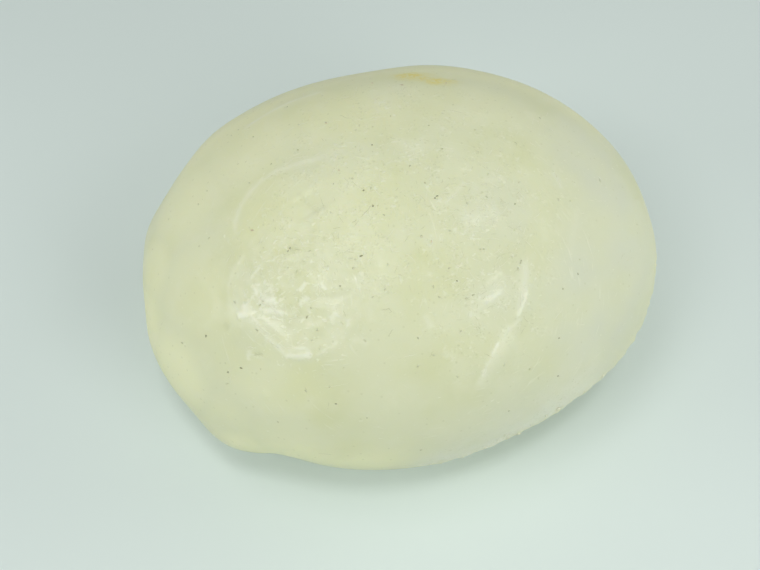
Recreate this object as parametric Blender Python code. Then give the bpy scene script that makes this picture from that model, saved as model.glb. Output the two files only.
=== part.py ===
"""A whole ball of mozzarella, modelled as one closed solid that rests on a small flat spot.

Metres, +Z up. The longest way across the ball lies along X, and the origin is the middle of the
ball's plan at the height of the table. The skin is one rule, skin_points, which turns directions
from the ball's middle into points: an egg of unequal halves, uneven all over, with broad swells
and hollows, a seam under its right front side and a few low folds.
"""

from dataclasses import dataclass

import bmesh
import bpy
import numpy as np
from mathutils import Vector, noise

# Driving dimensions
LENGTH = 0.0957
WIDTH = 0.0786
CROWN_HEIGHT = 0.0320
BELLY_DEPTH = 0.0295
WIDEST_LEVEL = 0.0275

# Uneven skin, as left by kneading: how far apart its humps are and how high they stand
KNEADING_PITCH = 0.0130
KNEADING_HEIGHT = 0.00022

# Seam round the right front side, where the skin was drawn under and pinched shut
SEAM_LIP_HEIGHT = 0.00045
SEAM_LIP_WIDTH = 0.0017
SEAM_UNDERCUT = 0.0013
SEAM_UNDERCUT_REACH = 0.0060
SEAM_PATH = ((-103, -17), (-92, -13), (-78, -8), (-65, -5), (-52, -2), (-38, 2), (-21, 9), (-3, 16))

# Shares of their length over which the seam opens and closes, and a fold dies away at each end
SEAM_OPENING_SHARE = 0.25
SEAM_CLOSING_SHARE = 0.33
FOLD_END_SHARE = 0.2

# The mesh: squares along each side of the cube that is blown up into the ball, how near the table
# a corner is set down on it, and the angle in degrees past which an edge is drawn sharp
GRID = 26
REST_SNAP = 0.00035
SPOT_EDGE_ANGLE = 9.0

CHEESE_COLOUR = (0.72, 0.74, 0.52, 1.0)
CHEESE_ROUGHNESS = 0.38


@dataclass(frozen=True)
class Swell:
    """A broad hump of the skin, or a hollow where its height is negative. Angles in degrees."""

    name: str
    azimuth: float
    elevation: float
    spread: float
    height: float


@dataclass(frozen=True)
class Fold:
    """A low ridge along a path over the skin, or a groove where its height is negative."""

    name: str
    path: tuple
    width: float
    height: float


SWELLS = (
    Swell("right front shoulder", -20, 8, 24, 0.0012),
    Swell("left cheek", -159, -4, 24, 0.0010),
    Swell("slack front", -78, -9, 24, -0.0009),
    Swell("front belly", -92, -12, 8, 0.0004),
    Swell("back left shoulder", 140, 24, 24, 0.0004),
    Swell("lower left lobe", -141, -11, 9, 0.0019),
    Swell("hollow beside the lobe", -126, -9, 8, -0.0005),
    Swell("flat left flank", 180, 6, 7, -0.0005),
    Swell("left end above the flank", 160, 14, 7, 0.0006),
    Swell("seam's corner", -46, 0, 8, 0.0005),
    Swell("right end", -36, 3, 7, 0.0003),
    Swell("flat right end", -8, 13, 10, -0.0003),
    Swell("flattened back", 88, 34, 12, -0.0007),
    Swell("back left hump", 132, 28, 8, 0.0005),
)

FOLDS = (
    Fold("tuck under the lobe", ((-129, -6), (-126, -22), (-116, -42)), 0.0026, -0.0012),
    Fold("crease on the right of the crown", ((-56, 56), (-64, 48), (-76, 40), (-84, 31)), 0.0026, 0.00040),
    Fold("rim on the left of the crown", ((-152, 43), (-138, 40), (-126, 40), (-115, 46)), 0.0030, 0.00035),
    Fold("thumb mark on the crown", ((-178, 70), (-158, 70)), 0.0026, -0.00025),
)


def direction(azimuth, elevation):
    """The unit vector at an azimuth from +X and an elevation above the widest level, in degrees."""
    a = np.radians(azimuth)
    e = np.radians(elevation)
    return np.array([np.cos(e) * np.cos(a), np.cos(e) * np.sin(a), np.sin(e)])


def egg(ways):
    """Points of the plain egg and the outward normals there, for unit vectors."""
    depth = np.where(ways[:, 2] > 0, CROWN_HEIGHT, BELLY_DEPTH)
    halves = np.stack([np.full(len(ways), LENGTH / 2), np.full(len(ways), WIDTH / 2), depth], axis=1)
    normals = ways / halves
    normals /= np.linalg.norm(normals, axis=1, keepdims=True)
    return ways * halves, normals


def fade(share):
    """Rises smoothly from 0 to 1 as share does."""
    t = np.clip(share, 0, 1)
    return t * t * (3 - 2 * t)


def beside(points, path):
    """How far each point lies from a path over the egg, on which side, and how far along it is.

    The distance is in metres, the side is positive below or outside the path, and the place along
    it runs from 0 to 1.
    """
    corners, normals = egg(np.array([direction(*place) for place in path]))
    runs = np.linalg.norm(np.diff(corners, axis=0), axis=1)
    starts = np.concatenate([[0], np.cumsum(runs)[:-1]])
    nearest = np.full(len(points), np.inf)
    side = np.zeros(len(points))
    along = np.zeros(len(points))
    for i, run in enumerate(runs):
        heading = (corners[i + 1] - corners[i]) / run
        across = np.cross(heading, normals[i])
        offset = points - corners[i]
        place = np.clip(offset @ heading, 0, run)
        away = offset - place[:, None] * heading
        distance = np.linalg.norm(away, axis=1)
        closer = distance < nearest
        nearest = np.where(closer, distance, nearest)
        side = np.where(closer, away @ across, side)
        along = np.where(closer, (starts[i] + place) / runs.sum(), along)
    return nearest, side, along


def swell_relief(ways):
    """What the swells add at each direction."""
    total = np.zeros(len(ways))
    for swell in SWELLS:
        gap = ways - direction(swell.azimuth, swell.elevation)
        total += swell.height * np.exp(-(gap**2).sum(axis=1) / np.radians(swell.spread) ** 2)
    return total


def fold_relief(points):
    """What the folds add at each point, dying away at each end of a fold."""
    total = np.zeros(len(points))
    for fold in FOLDS:
        distance, _, along = beside(points, fold.path)
        ends = fade(along / FOLD_END_SHARE) * fade((1 - along) / FOLD_END_SHARE)
        total += fold.height * ends * np.exp(-((distance / fold.width) ** 2))
    return total


def seam_relief(points):
    """What the seam adds at each point: a narrow lip, and an undercut that eases off below it."""
    distance, side, along = beside(points, SEAM_PATH)
    ends = fade(along / SEAM_OPENING_SHARE) * fade((1 - along) / SEAM_CLOSING_SHARE)
    lip = SEAM_LIP_HEIGHT * np.exp(-((distance / SEAM_LIP_WIDTH) ** 2))
    below = np.maximum(side, 0)
    cut = SEAM_UNDERCUT * (below / SEAM_UNDERCUT_REACH) * np.exp(1 - below / SEAM_UNDERCUT_REACH)
    return ends * (lip - cut)


def kneading_relief(points):
    """The humps and dips that kneading left, at each point."""
    return np.array([KNEADING_HEIGHT * noise.noise(Vector(p) / KNEADING_PITCH) for p in points])


def skin_points(ways):
    """Points of the skin for unit vectors from the ball's middle, with the table at z = 0."""
    points, normals = egg(ways)
    relief = swell_relief(ways) + fold_relief(points) + seam_relief(points) + kneading_relief(points)
    points = points + normals * relief[:, None]
    points[:, 2] += WIDEST_LEVEL
    return points


def ball_mesh():
    """The ball: a cube's even grid blown up to the skin and cut flat where it rests."""
    bm = bmesh.new()
    bmesh.ops.create_cube(bm, size=2.0)
    bmesh.ops.subdivide_edges(bm, edges=bm.edges[:], cuts=GRID - 1, use_grid_fill=True)
    grid = np.array([v.co for v in bm.verts])
    ways = np.tan(grid * np.pi / 4)
    ways /= np.linalg.norm(ways, axis=1, keepdims=True)
    points = skin_points(ways)
    points[np.abs(points[:, 2]) < REST_SNAP, 2] = 0.0
    points[:, :2] -= (points[:, :2].min(axis=0) + points[:, :2].max(axis=0)) / 2
    for vertex, point in zip(bm.verts, points):
        vertex.co = point
    cut_flat(bm)
    mesh = bpy.data.meshes.new("mozzarella")
    bm.to_mesh(mesh)
    bm.free()
    mesh.shade_smooth()
    mesh.set_sharp_from_angle(angle=np.radians(SPOT_EDGE_ANGLE))
    return mesh


def cut_flat(bm):
    """Cuts away what is below the table and closes the ball with one flat face."""
    whole = bm.verts[:] + bm.edges[:] + bm.faces[:]
    bmesh.ops.bisect_plane(
        bm, geom=whole, dist=1e-6, plane_co=(0, 0, 0), plane_no=(0, 0, -1), clear_outer=True
    )
    rim = [edge for edge in bm.edges if edge.is_boundary]
    bmesh.ops.edgeloop_fill(bm, edges=rim)
    bmesh.ops.recalc_face_normals(bm, faces=bm.faces[:])


def cheese_material():
    """The moist, pale skin of a fresh curd cheese."""
    material = bpy.data.materials.new("mozzarella skin")
    material.use_nodes = True
    shader = material.node_tree.nodes["Principled BSDF"]
    shader.inputs["Base Color"].default_value = CHEESE_COLOUR
    shader.inputs["Roughness"].default_value = CHEESE_ROUGHNESS
    shader.inputs["Metallic"].default_value = 0.0
    return material


def main():
    for item in list(bpy.data.objects):
        bpy.data.objects.remove(item, do_unlink=True)
    mesh = ball_mesh()
    mesh.materials.append(cheese_material())
    ball = bpy.data.objects.new("mozzarella", mesh)
    bpy.context.scene.collection.objects.link(ball)


main()
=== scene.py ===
"""A whole ball of mozzarella on a pale table, in soft lamp light.

Metres, +Z up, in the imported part's own frame; a name that ends in _mm holds millimetres. The skin repeats the
rule of the part's solid on a much finer grid and adds what is too fine for the solid: hammered dents, rims,
creases and a frayed seam. Pinholes, specks, cracks and scratches are small closed pieces let into the skin.
A mark that shows in the portrait is placed by its pixels there, and lies where their rays meet the skin.
"""

import logging
from collections.abc import Iterator
from dataclasses import dataclass, field
from enum import Enum
from typing import Any, NamedTuple

import bpy
import numpy as np
from mathutils import Matrix, Vector, noise
from mathutils.bvhtree import BVHTree


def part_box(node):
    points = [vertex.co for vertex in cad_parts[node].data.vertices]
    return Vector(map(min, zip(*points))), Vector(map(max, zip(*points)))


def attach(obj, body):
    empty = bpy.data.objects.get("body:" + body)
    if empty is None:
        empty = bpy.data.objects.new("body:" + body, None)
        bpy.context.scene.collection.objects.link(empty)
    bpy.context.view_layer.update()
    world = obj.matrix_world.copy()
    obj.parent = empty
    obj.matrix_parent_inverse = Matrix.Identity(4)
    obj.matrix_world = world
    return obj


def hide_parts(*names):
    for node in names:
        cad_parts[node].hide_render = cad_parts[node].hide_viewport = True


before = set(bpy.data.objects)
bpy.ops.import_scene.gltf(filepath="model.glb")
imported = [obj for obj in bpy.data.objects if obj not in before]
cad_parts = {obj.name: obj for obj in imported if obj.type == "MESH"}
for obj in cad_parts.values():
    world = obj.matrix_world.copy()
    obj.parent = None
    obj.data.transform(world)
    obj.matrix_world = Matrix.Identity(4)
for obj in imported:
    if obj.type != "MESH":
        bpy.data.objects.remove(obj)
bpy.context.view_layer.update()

NODE = "mozzarella"
BODY = "root"
SHADER = "Principled BSDF"
MM = 0.001

log = logging.getLogger("mozzarella")

# A footing is a point of the skin and the way that it faces, and a shape is its points and its faces
Pixel = tuple[float, float]
Place = tuple[float, float]
Footing = tuple[np.ndarray, np.ndarray]
Shape = tuple[list[np.ndarray], list[tuple[int, ...]]]
Tree = bpy.types.NodeTree
Socket = bpy.types.NodeSocket
Chance = np.random.Generator


def linear(colour: str) -> tuple[float, float, float, float]:
    """Turns an sRGB colour into linear light, by the curve of the sRGB standard.

    Args:
        colour: Six hex digits, with or without a leading #.

    Returns:
        Red, green, blue and an alpha of 1.
    """
    digits = colour.lstrip("#")
    shares = [int(digits[i : i + 2], 16) / 255 for i in (0, 2, 4)]
    light = [s / 12.92 if s <= 0.04045 else ((s + 0.055) / 1.055) ** 2.4 for s in shares]
    return (light[0], light[1], light[2], 1.0)


class Kind(Enum):
    """A kind of shader node: its type, the inputs that are fed, the output that is used and its settings."""

    COORDS = ("ShaderNodeTexCoord", (), "Object", {})
    MASK = ("ShaderNodeAttribute", (), "Fac", {})
    NOISE = ("ShaderNodeTexNoise", ("Vector", "Scale", "Detail", "Distortion"), 0, {})
    CELLS = ("ShaderNodeTexVoronoi", ("Vector", "Scale"), 0, {})
    RAMP = ("ShaderNodeMapRange", (0, 1, 2, 3, 4), 0, {"interpolation_type": "SMOOTHSTEP"})
    TIMES = ("ShaderNodeMath", (0, 1), 0, {"operation": "MULTIPLY"})
    PLUS = ("ShaderNodeMath", (0, 1), 0, {"operation": "ADD"})
    GREATER = ("ShaderNodeMath", (0, 1), 0, {"operation": "MAXIMUM"})
    TIMES_PLUS = ("ShaderNodeMath", (0, 1, 2), 0, {"operation": "MULTIPLY_ADD"})
    SCALED = ("ShaderNodeVectorMath", (0, "Scale"), 0, {"operation": "SCALE"})
    STRETCHED = ("ShaderNodeVectorMath", (0, 1), 0, {"operation": "MULTIPLY"})
    SHIFTED = ("ShaderNodeVectorMath", (0, 1), 0, {"operation": "ADD"})
    AWAY = ("ShaderNodeVectorMath", (0, 1), 0, {"operation": "SUBTRACT"})
    LENGTH = ("ShaderNodeVectorMath", (0,), "Value", {"operation": "LENGTH"})
    HEADING = ("ShaderNodeVectorMath", (0,), 0, {"operation": "NORMALIZE"})
    UPWARDS = ("ShaderNodeCombineXYZ", (2,), 0, {})
    TINT = ("ShaderNodeMix", (0, 6, 7), 2, {"data_type": "RGBA"})
    BUMP = ("ShaderNodeBump", ("Height", "Distance"), 0, {})


def feed(node: bpy.types.Node, feeds: dict[str | int, Any]) -> None:
    """Gives a node's inputs their values, or links them to other nodes.

    Args:
        node: The node.
        feeds: What goes into its inputs, by name or place: a value, or an output to link.
    """
    for key, value in feeds.items():
        if isinstance(value, Socket):
            node.id_data.links.new(value, node.inputs[key])
        else:
            node.inputs[key].default_value = value


def add_node(tree: Tree, kind: Kind, *feeds: Any, **settings: Any) -> Socket:
    """Adds a node with its settings and links.

    Args:
        tree: The tree that it goes in.
        kind: Its kind.
        feeds: What goes into its inputs, in the order of its kind.
        settings: More settings than its kind has.

    Returns:
        The output that is used.
    """
    name, inputs, output, known = kind.value
    made = tree.nodes.new(name)
    for key, value in {**known, **settings}.items():
        setattr(made, key, value)
    feed(made, dict(zip(inputs, feeds)))
    return made.outputs[output]


def new_material(name: str) -> tuple[bpy.types.Material, Tree]:
    """Makes a material.

    Args:
        name: Its name.

    Returns:
        The material and its tree, which holds one Principled shader.
    """
    material = bpy.data.materials.new(name)
    material.use_nodes = True
    return material, material.node_tree


def add_object(name: str, shape: Shape, material: bpy.types.Material) -> bpy.types.Object:
    """Adds an object with a smooth mesh to the scene.

    Args:
        name: Its name.
        shape: Its points in metres and its faces.
        material: Its finish.

    Returns:
        The object.
    """
    points, faces = shape
    mesh = bpy.data.meshes.new(name)
    mesh.from_pydata(points, [], faces)
    mesh.shade_smooth()
    mesh.materials.append(material)
    made = bpy.data.objects.new(name, mesh)
    bpy.context.scene.collection.objects.link(made)
    return made


def direction(place: Place) -> np.ndarray:
    """The way from the ball's middle to a place on it.

    Args:
        place: The azimuth from +X and the elevation, in degrees.

    Returns:
        A unit vector.
    """
    azimuth, elevation = np.radians(place)
    level = np.cos(elevation)
    return np.array([level * np.cos(azimuth), level * np.sin(azimuth), np.sin(elevation)])


def fade(share: np.ndarray) -> np.ndarray:
    """Rises smoothly from 0 to 1 as share does."""
    t = np.clip(share, 0, 1)
    return t * t * (3 - 2 * t)


def ripples(points: np.ndarray, pitch: float, seed: float = 0.0) -> np.ndarray:
    """Smooth noise at each point.

    Args:
        points: Points in metres, one a row.
        pitch: How far apart the noise's humps are, in metres.
        seed: Moves the noise, so that layers of it differ.

    Returns:
        One number for each point, from about -1 to 1.
    """
    offset = Vector((seed, seed, seed))
    return np.array([noise.noise(Vector(p) / pitch + offset) for p in points])


def beside(points: np.ndarray, corners: np.ndarray, normals: np.ndarray) -> tuple[np.ndarray, ...]:
    """How far each point lies from a path of straight runs, on which side, and how far along it is.

    Args:
        points: Points in metres, one a row.
        corners: The path's corners.
        normals: The outward normals of the skin at the corners.

    Returns:
        The distance in metres, the way to the side, which is positive on the right hand of the path, and the
        place along the path from 0 to 1.
    """
    runs = np.linalg.norm(np.diff(corners, axis=0), axis=1)
    starts = np.concatenate([[0], np.cumsum(runs)[:-1]])
    nearest = np.full(len(points), np.inf)
    side = np.zeros(len(points))
    along = np.zeros(len(points))
    for i, run in enumerate(runs):
        heading = (corners[i + 1] - corners[i]) / run
        across = np.cross(heading, normals[i])
        offset = points - corners[i]
        place = np.clip(offset @ heading, 0, run)
        away = offset - place[:, None] * heading
        distance = np.linalg.norm(away, axis=1)
        closer = distance < nearest
        nearest = np.where(closer, distance, nearest)
        side = np.where(closer, away @ across, side)
        along = np.where(closer, (starts[i] + place) / runs.sum(), along)
    return nearest, side, along


@dataclass(frozen=True)
class Swell:
    """A broad hump of the skin, or a hollow where its height is negative. Angles in degrees."""

    name: str
    place: Place
    spread: float
    height_mm: float


@dataclass(frozen=True)
class Fold:
    """A low ridge along a path of places on the skin, or a groove where its height is negative."""

    name: str
    path: tuple[Place, ...]
    width_mm: float
    height_mm: float


@dataclass(frozen=True)
class Seam:
    """Where the skin was drawn under and pinched shut: a narrow lip over a shallow undercut."""

    path: tuple[Place, ...]
    lip_height: float = 0.45 * MM
    lip_width: float = 1.7 * MM
    undercut: float = 1.3 * MM
    undercut_reach: float = 6.0 * MM
    opening_share: float = 0.25
    closing_share: float = 0.33
    fray_pitch: float = 1.2 * MM
    fray_seed: float = 7.0
    fray: float = 0.7

    def relief(self, points: np.ndarray, corners: np.ndarray, normals: np.ndarray) -> np.ndarray:
        """What the seam adds at each point, with its lip frayed by fine noise.

        Args:
            points: Points of the plain egg.
            corners: The seam's path over the egg.
            normals: The egg's normals at those corners.

        Returns:
            Heights in metres.
        """
        distance, side, along = beside(points, corners, normals)
        ends = fade(along / self.opening_share) * fade((1 - along) / self.closing_share)
        lip = self.lip_height * np.exp(-((distance / self.lip_width) ** 2))
        lip *= 1 + self.fray * ripples(points, self.fray_pitch, self.fray_seed)
        below = np.maximum(side, 0) / self.undercut_reach
        return ends * (lip - self.undercut * below * np.exp(1 - below))


@dataclass(frozen=True)
class BallForm:
    """The rule of the part's solid: an egg of unequal halves with swells, folds, a seam and kneading."""

    length: float = 95.7 * MM
    width: float = 78.6 * MM
    crown_height: float = 32.0 * MM
    belly_depth: float = 29.5 * MM
    widest_level: float = 27.5 * MM
    kneading_pitch: float = 13.0 * MM
    kneading_height: float = 0.22 * MM
    fold_end_share: float = 0.2
    seam: Seam = Seam(
        ((-103, -17), (-92, -13), (-78, -8), (-65, -5), (-52, -2), (-38, 2), (-21, 9), (-3, 16))
    )
    swells: tuple[Swell, ...] = (
        Swell("right front shoulder", (-20, 8), 24, 1.2),
        Swell("left cheek", (-159, -4), 24, 1.0),
        Swell("slack front", (-78, -9), 24, -0.9),
        Swell("front belly", (-92, -12), 8, 0.4),
        Swell("back left shoulder", (140, 24), 24, 0.4),
        Swell("lower left lobe", (-141, -11), 9, 1.9),
        Swell("hollow beside the lobe", (-126, -9), 8, -0.5),
        Swell("flat left flank", (180, 6), 7, -0.5),
        Swell("left end above the flank", (160, 14), 7, 0.6),
        Swell("seam's corner", (-46, 0), 8, 0.5),
        Swell("right end", (-36, 3), 7, 0.3),
        Swell("flat right end", (-8, 13), 10, -0.3),
        Swell("flattened back", (88, 34), 12, -0.7),
        Swell("back left hump", (132, 28), 8, 0.5),
    )
    folds: tuple[Fold, ...] = (
        Fold("tuck under the lobe", ((-129, -6), (-126, -22), (-116, -42)), 2.6, -1.2),
        Fold("crease on the right of the crown", ((-56, 56), (-64, 48), (-76, 40), (-84, 31)), 2.6, 0.4),
        Fold("rim on the left of the crown", ((-152, 43), (-138, 40), (-126, 40), (-115, 46)), 3.0, 0.35),
        Fold("thumb mark on the crown", ((-178, 70), (-158, 70)), 2.6, -0.25),
    )

    def egg(self, ways: np.ndarray) -> Footing:
        """Points of the plain egg and the outward normals there.

        Args:
            ways: Unit vectors from the ball's middle.

        Returns:
            The points and the normals.
        """
        depth = np.where(ways[:, 2] > 0, self.crown_height, self.belly_depth)
        level = np.ones(len(ways))
        halves = np.stack([level * self.length / 2, level * self.width / 2, depth], axis=1)
        normals = ways / halves
        normals /= np.linalg.norm(normals, axis=1, keepdims=True)
        return ways * halves, normals

    def path(self, places: tuple[Place, ...]) -> Footing:
        """The corners of a path over the plain egg and the normals there."""
        return self.egg(np.array([direction(place) for place in places]))

    def relief(self, ways: np.ndarray, points: np.ndarray) -> np.ndarray:
        """What swells, folds, seam and kneading add to the egg.

        Args:
            ways: Unit vectors from the ball's middle.
            points: The egg's points in those directions.

        Returns:
            Heights in metres.
        """
        total = self.kneading_height * ripples(points, self.kneading_pitch)
        for swell in self.swells:
            gap = ways - direction(swell.place)
            total += swell.height_mm * MM * np.exp(-(gap**2).sum(axis=1) / np.radians(swell.spread) ** 2)
        for fold in self.folds:
            distance, _, along = beside(points, *self.path(fold.path))
            ends = fade(along / self.fold_end_share) * fade((1 - along) / self.fold_end_share)
            total += fold.height_mm * MM * ends * np.exp(-((distance / (fold.width_mm * MM)) ** 2))
        return total + self.seam.relief(points, *self.path(self.seam.path))

    def skin(self, ways: np.ndarray) -> Footing:
        """Points of the skin, standing on the table at z = 0, and the way that it faces.

        Args:
            ways: Unit vectors from the ball's middle.

        Returns:
            The points, before the ball's plan is centred, and the egg's normals.
        """
        points, normals = self.egg(ways)
        points = points + normals * self.relief(ways, points)[:, None]
        points[:, 2] += self.widest_level
        return points, normals


@dataclass(frozen=True)
class BlownCube:
    """A cube's even grid blown up to a ball of directions, with a map of its six sides."""

    squares: int
    lean: float = 0.0
    map_margin: float = 0.006

    def sides(self) -> list[np.ndarray]:
        """Numbers the grid corners of each side.

        Returns:
            Whole numbers from 0 to squares along each edge of the cube.
        """
        n = self.squares
        u, v = (a.ravel() for a in np.meshgrid(np.arange(n + 1), np.arange(n + 1), indexing="ij"))
        far = np.full_like(u, n)
        near = np.zeros_like(u)
        turns = ((far, u, v), (near, v, u), (v, far, u), (u, near, v), (u, v, far), (v, u, near))
        return [np.stack(t, axis=1) for t in turns]

    def build(self) -> tuple[np.ndarray, np.ndarray, np.ndarray]:
        """Joins the six sides along their edges.

        Returns:
            Unit vectors for the corners, leaning towards the top, the squares' corners, and for each corner
            of each square its place on the map.
        """
        n = self.squares
        lattice, inverse = np.unique(np.concatenate(self.sides()), axis=0, return_inverse=True)
        inverse = inverse.reshape(6, n + 1, n + 1)
        first = inverse[:, :-1, :-1]
        quads = np.stack([first, inverse[:, 1:, :-1], inverse[:, 1:, 1:], inverse[:, :-1, 1:]], axis=-1)
        steps = np.arange(n + 1) / n * (1 - 2 * self.map_margin) + self.map_margin
        u, v = np.meshgrid(steps, steps, indexing="ij")
        spots = np.stack([u, v], axis=-1)
        square = np.stack([spots[:-1, :-1], spots[1:, :-1], spots[1:, 1:], spots[:-1, 1:]], axis=-2)
        cells = np.array([(side % 3, side // 3) for side in range(6)])
        maps = (square[None] + cells[:, None, None, None, :]) / np.array([3, 2])
        ways = np.tan((lattice / n * 2 - 1) * np.pi / 4)
        ways /= np.linalg.norm(ways, axis=1, keepdims=True)
        ways[:, 2] += self.lean
        ways /= np.linalg.norm(ways, axis=1, keepdims=True)
        return ways, quads.reshape(-1, 4), maps.reshape(-1, 2)


@dataclass(frozen=True)
class Portrait:
    """The camera, where the portrait was taken from: above the front, a little to the left."""

    turn: float = 14.0
    elevation: float = 62.0
    distance: float = 178 * MM
    aim: tuple[float, float, float] = (-4.15 * MM, -2.0 * MM, 23.0 * MM)
    focal_px: float = 919.9
    width_px: float = 760.0
    height_px: float = 570.0
    film_width: float = 36.0
    nearest: float = 10 * MM

    def axes(self) -> tuple[np.ndarray, np.ndarray, np.ndarray]:
        """How the camera is turned.

        Returns:
            Unit vectors to its right, upwards and forward.
        """
        turn, elevation = np.radians(self.turn), np.radians(self.elevation)
        level = np.array([np.sin(turn), np.cos(turn), 0.0])
        forward = np.cos(elevation) * level - np.sin(elevation) * np.array([0.0, 0.0, 1.0])
        right = np.array([level[1], -level[0], 0.0])
        return right, np.cross(right, forward), forward

    def stand(self) -> np.ndarray:
        """Where the camera stands."""
        return np.array(self.aim) - self.distance * self.axes()[2]

    def ray(self, pixel: Pixel) -> np.ndarray:
        """The way from the camera through a pixel.

        Args:
            pixel: Its place in the portrait.

        Returns:
            A unit vector.
        """
        right, up, forward = self.axes()
        x = (pixel[0] - self.width_px / 2) / self.focal_px
        y = (self.height_px / 2 - pixel[1]) / self.focal_px
        way = forward + x * right + y * up
        return way / np.linalg.norm(way)

    def take(self) -> None:
        """Sets up the scene's camera."""
        data = bpy.data.cameras.new("portrait")
        data.sensor_fit = "HORIZONTAL"
        data.sensor_width = self.film_width
        data.lens = self.focal_px / self.width_px * self.film_width
        data.clip_start = self.nearest
        camera = bpy.data.objects.new("portrait", data)
        right, up, forward = self.axes()
        turned = Matrix((right, up, -forward)).transposed().to_4x4()
        camera.matrix_world = Matrix.Translation(Vector(self.stand())) @ turned
        bpy.context.scene.collection.objects.link(camera)
        bpy.context.scene.camera = camera


@dataclass
class Skin:
    """A surface that pixels of the portrait can be laid on."""

    portrait: Portrait
    points: np.ndarray
    quads: np.ndarray
    lowest_way: float = -0.35
    tree: BVHTree = field(init=False)

    def __post_init__(self) -> None:
        self.tree = BVHTree.FromPolygons(self.points.tolist(), self.quads.tolist())

    def under(self, pixel: Pixel) -> Footing:
        """What a pixel shows.

        Args:
            pixel: Its place in the portrait. One just off the ball lands on the ball's edge.

        Returns:
            The point of the skin and the way that it faces.
        """
        stand = self.portrait.stand()
        ray = self.portrait.ray(pixel)
        point, normal, _, _ = self.tree.ray_cast(Vector(stand), Vector(ray))
        if point is None:
            return self.nearest(stand + ray * self.portrait.distance)
        return np.array(point), np.array(normal)

    def path(self, pixels: tuple[Pixel, ...]) -> Footing:
        """The corners of a path that pixels show and the normals there."""
        corners, normals = zip(*[self.under(pixel) for pixel in pixels])
        return np.array(corners), np.array(normals)

    def anywhere(self, rng: Chance, top_heaviness: float) -> Footing:
        """A random place above the resting spot.

        Args:
            rng: The piece's random numbers.
            top_heaviness: How strongly the top is favoured: 0 is not at all and 2 keeps most places near it.

        Returns:
            The point of the skin and the way that it faces.
        """
        way = np.array([0.0, 0.0, -1.0])
        while way[2] < self.lowest_way:
            way = rng.normal(size=3) + np.array([0.0, 0.0, top_heaviness])
            way /= np.linalg.norm(way)
        middle = (self.points.min(axis=0) + self.points.max(axis=0)) / 2
        far = middle + way * np.ptp(self.points[:, 0])
        point, normal, _, _ = self.tree.ray_cast(Vector(far), Vector(-way))
        return np.array(point), np.array(normal)

    def about(self, pixel: Pixel, spread: float, rng: Chance) -> Footing:
        """A random place near the one that a pixel shows."""
        return self.nearest(self.under(pixel)[0] + rng.normal(size=3) * spread)

    def nearest(self, point: np.ndarray) -> Footing:
        """The nearest point of the skin and the way that it faces."""
        found, normal, _, _ = self.tree.find_nearest(Vector(point))
        return np.array(found), np.array(normal)


@dataclass(frozen=True)
class Mark:
    """A rim, crease or rub along pixels of the portrait.

    It stands height_mm proud, or lies that deep where the height is negative. pale is how far it is painted a
    ragged white and milky how far an even milky tone: these are painted highlights, the glint and shine of the
    lamps on the skin. dull is how far it turns to the tone of a fleck.
    broken is how much it comes and goes, and trail is how many times as wide it is on the left hand of its
    path as on the right.
    """

    name: str
    pixels: tuple[Pixel, ...]
    width_mm: float
    height_mm: float = 0.0
    pale: float = 0.0
    milky: float = 0.0
    dull: float = 0.0
    broken: float = 0.3
    trail: float = 1.0
    end_share: float = 0.15
    break_pitch: float = 2.2 * MM
    break_seed: float = 19.0
    farthest: float = 3.0

    def over(self, skin: Skin, points: np.ndarray) -> np.ndarray:
        """How strongly each point lies on the mark.

        Args:
            skin: The surface that the pixels are laid on.
            points: Points in metres.

        Returns:
            One share for each point, about 1 on the mark's line.
        """
        distance, side, along = beside(points, *skin.path(self.pixels))
        reach = distance / (self.width_mm * MM * np.where(side < 0, self.trail, 1.0))
        near = np.flatnonzero(reach < self.farthest)
        ends = fade(along[near] / self.end_share) * fade((1 - along[near]) / self.end_share)
        ends *= 1 + self.broken * ripples(points[near], self.break_pitch, self.break_seed)
        share = np.zeros(len(points))
        share[near] = np.maximum(ends, 0) * np.exp(-(reach[near] ** 2))
        return share


@dataclass(frozen=True)
class Dent:
    """A small hump at one pixel of the portrait, or a dent where its height is negative."""

    name: str
    pixel: Pixel
    width_mm: float
    height_mm: float


@dataclass(frozen=True)
class Field:
    """A round or oval area of the skin round one pixel of the portrait, fading towards its edge."""

    pixel: Pixel
    radius_mm: float
    squash: float = 1.0
    strength: float = 1.0

    def over(self, skin: Skin, points: np.ndarray) -> np.ndarray:
        """How strongly each point lies in the field.

        Args:
            skin: The surface that the pixel is laid on.
            points: Points in metres.

        Returns:
            One share for each point, from 0 to the field's strength.
        """
        radius = self.radius_mm * MM
        right, _, _ = skin.portrait.axes()
        gap = points - skin.under(self.pixel)[0]
        across = gap @ right
        rest = gap - across[:, None] * right
        reach = (across / (radius * self.squash)) ** 2 + (rest**2).sum(axis=1) / radius**2
        return self.strength * np.exp(-(reach**2))


@dataclass(frozen=True)
class Patch:
    """An area inside a closed line of the portrait's pixels, listed anticlockwise, with an edge this wide."""

    pixels: tuple[Pixel, ...]
    edge_mm: float

    def over(self, skin: Skin, points: np.ndarray) -> np.ndarray:
        """How far each point is inside the line.

        Args:
            skin: The surface that the pixels are laid on.
            points: Points in metres.

        Returns:
            One share for each point, which rises from 0 to 1 across the edge.
        """
        distance, side, _ = beside(points, *skin.path(self.pixels + self.pixels[:1]))
        return fade(0.5 - np.sign(side) * distance / (self.edge_mm * MM))


@dataclass(frozen=True)
class Mottle:
    """An uneven share: how high it is on the whole, and by how much and over what length it varies."""

    level: float
    depth: float
    pitch_mm: float
    seed: float

    def over(self, points: np.ndarray) -> np.ndarray:
        """The share at each point."""
        return self.level + self.depth * ripples(points, self.pitch_mm * MM, self.seed)


# Most pale and milky marks here are painted highlights: the lamps' glints and soft shine on the pressed skin
# and its creases, painted over the real rims, creases and dents that their heights make.
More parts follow.
